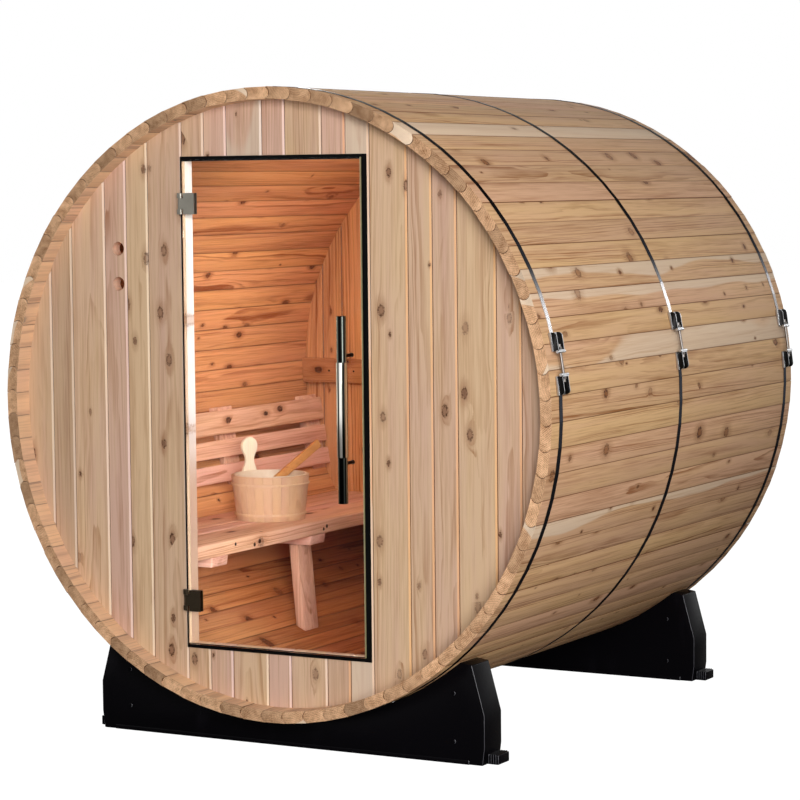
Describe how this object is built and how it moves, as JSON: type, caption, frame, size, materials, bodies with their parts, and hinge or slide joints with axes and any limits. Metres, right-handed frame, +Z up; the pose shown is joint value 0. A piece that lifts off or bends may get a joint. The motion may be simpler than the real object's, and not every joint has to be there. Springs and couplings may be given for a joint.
{
  "type": "barrel sauna",
  "caption": "Round barrel sauna cabin of bead-and-cove staves, with a hinged glass door, steel hoops, moulded cradles and a bench inside.",
  "frame": {"origin": "on the ground under the middle of the barrel, halfway along it", "axes": "+Z up, +Y from the door end to the back end, +X to the right of someone facing the door"},
  "size_m": [1.8538, 1.7965, 1.9157],
  "materials": {
    "staves": "planed cedar, clear finish",
    "wall_boards": "planed tongue-and-groove boards",
    "inside_boards": "planed softwood",
    "black_rubber": "matt black",
    "clear_glass": "clear tempered glass",
    "hinge_metal": "polished",
    "handle_metal": "polished",
    "hoop_steel": "bright strip",
    "tightener_steel": "zinc plated",
    "black_plastic": "moulded, satin black",
    "bucket_wood": "turned pale softwood",
    "ladle_wood": "oiled softwood"
  },
  "bodies": {
    "cabin": {"stave_segment_01": "staves", "stave_segment_02": "staves", "stave_segment_03": "staves", "stave_segment_04": "staves", "stave_segment_05": "staves", "stave_segment_06": "staves", "stave_segment_07": "staves", "stave_segment_08": "staves", "stave_segment_09": "staves", "stave_segment_10": "staves", "stave_segment_11": "staves", "stave_segment_12": "staves", "stave_segment_13": "staves", "stave_segment_14": "staves", "stave_segment_15": "staves", "stave_segment_16": "staves", "front_wall_left": "wall_boards", "front_wall_right": "wall_boards", "front_wall_top": "wall_boards", "front_wall_bottom": "wall_boards", "back_wall": "wall_boards", "back_batten": "inside_boards", "door_seal": "black_rubber", "hinge_wall_leaves": "hinge_metal", "hoops": "hoop_steel", "tightener_brackets": "tightener_steel", "tightener_rods": "tightener_steel", "cradle_front": "black_plastic", "cradle_back": "black_plastic", "bench_boards": "inside_boards", "bench_cleats": "inside_boards", "bench_leg": "inside_boards", "backrest_slats": "inside_boards", "backrest_posts": "inside_boards", "water_bucket": "bucket_wood", "ladle": "ladle_wood"},
    "door": {"door_glass": "clear_glass", "hinge_glass_clamps": "hinge_metal", "door_handle": "handle_metal"}
  },
  "joints": [
    {"name": "door_hinge", "type": "hinge", "parent": "cabin", "child": "door", "pos_m": [-0.308, -0.8415, 1], "axis": [0, 0, -1], "range_deg": [0, 105]}
  ]
}
